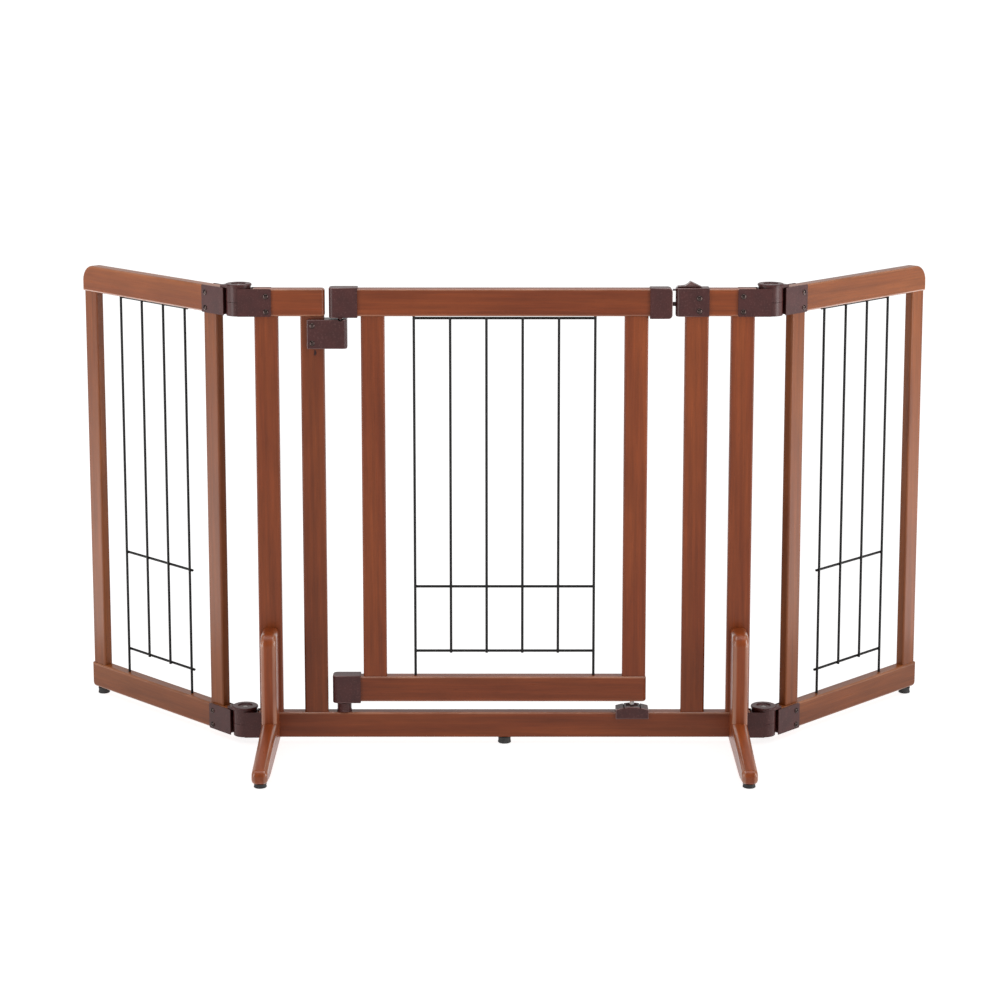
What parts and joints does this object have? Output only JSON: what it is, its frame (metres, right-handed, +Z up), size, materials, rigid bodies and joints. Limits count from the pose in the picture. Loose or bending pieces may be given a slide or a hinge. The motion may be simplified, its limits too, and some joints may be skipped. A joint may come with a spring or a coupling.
{
  "type": "freestanding pet gate",
  "caption": "Freestanding folding pet gate: wooden centre frame with a wire-filled swinging door, a side latch, support legs and a folding wire-filled wing on each side.",
  "frame": {"origin": "middle of the centre foot's underside, on the floor", "axes": "+X along the centre frame towards the latch side, -Y the gate's front (the wings fold back towards +Y), +Z up"},
  "size_m": [1.3348, 0.502, 0.71],
  "materials": {
    "stained_wood": "reddish-brown stain under a semi-gloss lacquer, fine grain along each member",
    "maroon_plastic": "moulded maroon-brown plastic, satin",
    "black_wire": "black powder-coated steel wire, semi-gloss",
    "black_rubber": "matt black rubber",
    "zinc_steel": "bronze-toned zinc-plated steel, turned",
    "white_nylon": "off-white nylon"
  },
  "bodies": {
    "centre_frame": {"centre_bottom_rail": "stained_wood", "left_top_rail": "stained_wood", "right_top_rail": "stained_wood", "left_outer_post": "stained_wood", "left_inner_post": "stained_wood", "right_inner_post": "stained_wood", "right_outer_post": "stained_wood", "left_support_leg": "stained_wood", "right_support_leg": "stained_wood", "door_pivot_bracket": "maroon_plastic", "door_lower_pivot_stud": "maroon_plastic", "lower_door_catch": "maroon_plastic", "latch_housing": "maroon_plastic", "left_lower_hinge_frame_leaf": "maroon_plastic", "left_upper_hinge_frame_leaf": "maroon_plastic", "right_lower_hinge_frame_leaf": "maroon_plastic", "right_upper_hinge_frame_leaf": "maroon_plastic", "centre_foot": "black_rubber", "left_front_foot_pad": "black_rubber", "right_front_foot_pad": "black_rubber", "left_lower_hinge_pin": "zinc_steel", "left_upper_hinge_pin": "zinc_steel", "right_lower_hinge_pin": "zinc_steel", "right_upper_hinge_pin": "zinc_steel", "door_upper_pivot_pin": "zinc_steel", "pivot_bracket_screw_upper": "zinc_steel", "pivot_bracket_screw_lower": "zinc_steel", "latch_spring": "zinc_steel"},
    "door": {"door_top_rail": "stained_wood", "door_bottom_rail": "stained_wood", "door_left_post": "stained_wood", "door_right_post": "stained_wood", "door_upper_pivot_block": "maroon_plastic", "door_lower_pivot_block": "maroon_plastic", "door_latch_cap": "maroon_plastic", "door_wire_grille": "black_wire", "door_catch_pin": "white_nylon"},
    "latch": {"latch_slider": "maroon_plastic"},
    "left_wing": {"left_wing_top_rail": "stained_wood", "left_wing_bottom_rail": "stained_wood", "left_wing_inner_post": "stained_wood", "left_wing_outer_post": "stained_wood", "left_lower_hinge_wing_leaf": "maroon_plastic", "left_upper_hinge_wing_leaf": "maroon_plastic", "left_wing_wire_grille": "black_wire", "left_wing_foot": "black_rubber"},
    "right_wing": {"right_wing_top_rail": "stained_wood", "right_wing_bottom_rail": "stained_wood", "right_wing_inner_post": "stained_wood", "right_wing_outer_post": "stained_wood", "right_lower_hinge_wing_leaf": "maroon_plastic", "right_upper_hinge_wing_leaf": "maroon_plastic", "right_wing_wire_grille": "black_wire", "right_wing_foot": "black_rubber"}
  },
  "joints": [
    {"name": "door_swing", "type": "hinge", "parent": "centre_frame", "child": "door", "pos_m": [-0.2436, 0, 0], "axis": [0, 0, 1], "range_deg": [-90, 90]},
    {"name": "left_wing_fold", "type": "hinge", "parent": "centre_frame", "child": "left_wing", "pos_m": [-0.3957, 0.0084, 0], "axis": [0, 0, -1], "range_deg": [-90, 44]},
    {"name": "right_wing_fold", "type": "hinge", "parent": "centre_frame", "child": "right_wing", "pos_m": [0.3957, 0.0084, 0], "axis": [0, 0, 1], "range_deg": [-90, 44]},
    {"name": "latch_slide", "type": "slide", "parent": "centre_frame", "child": "latch", "axis": [1, 0, 0], "range_m": [0, 0.01], "stiffness_N_per_m": 150, "springref_m": -0.004, "deforming": ["latch_spring"]}
  ]
}
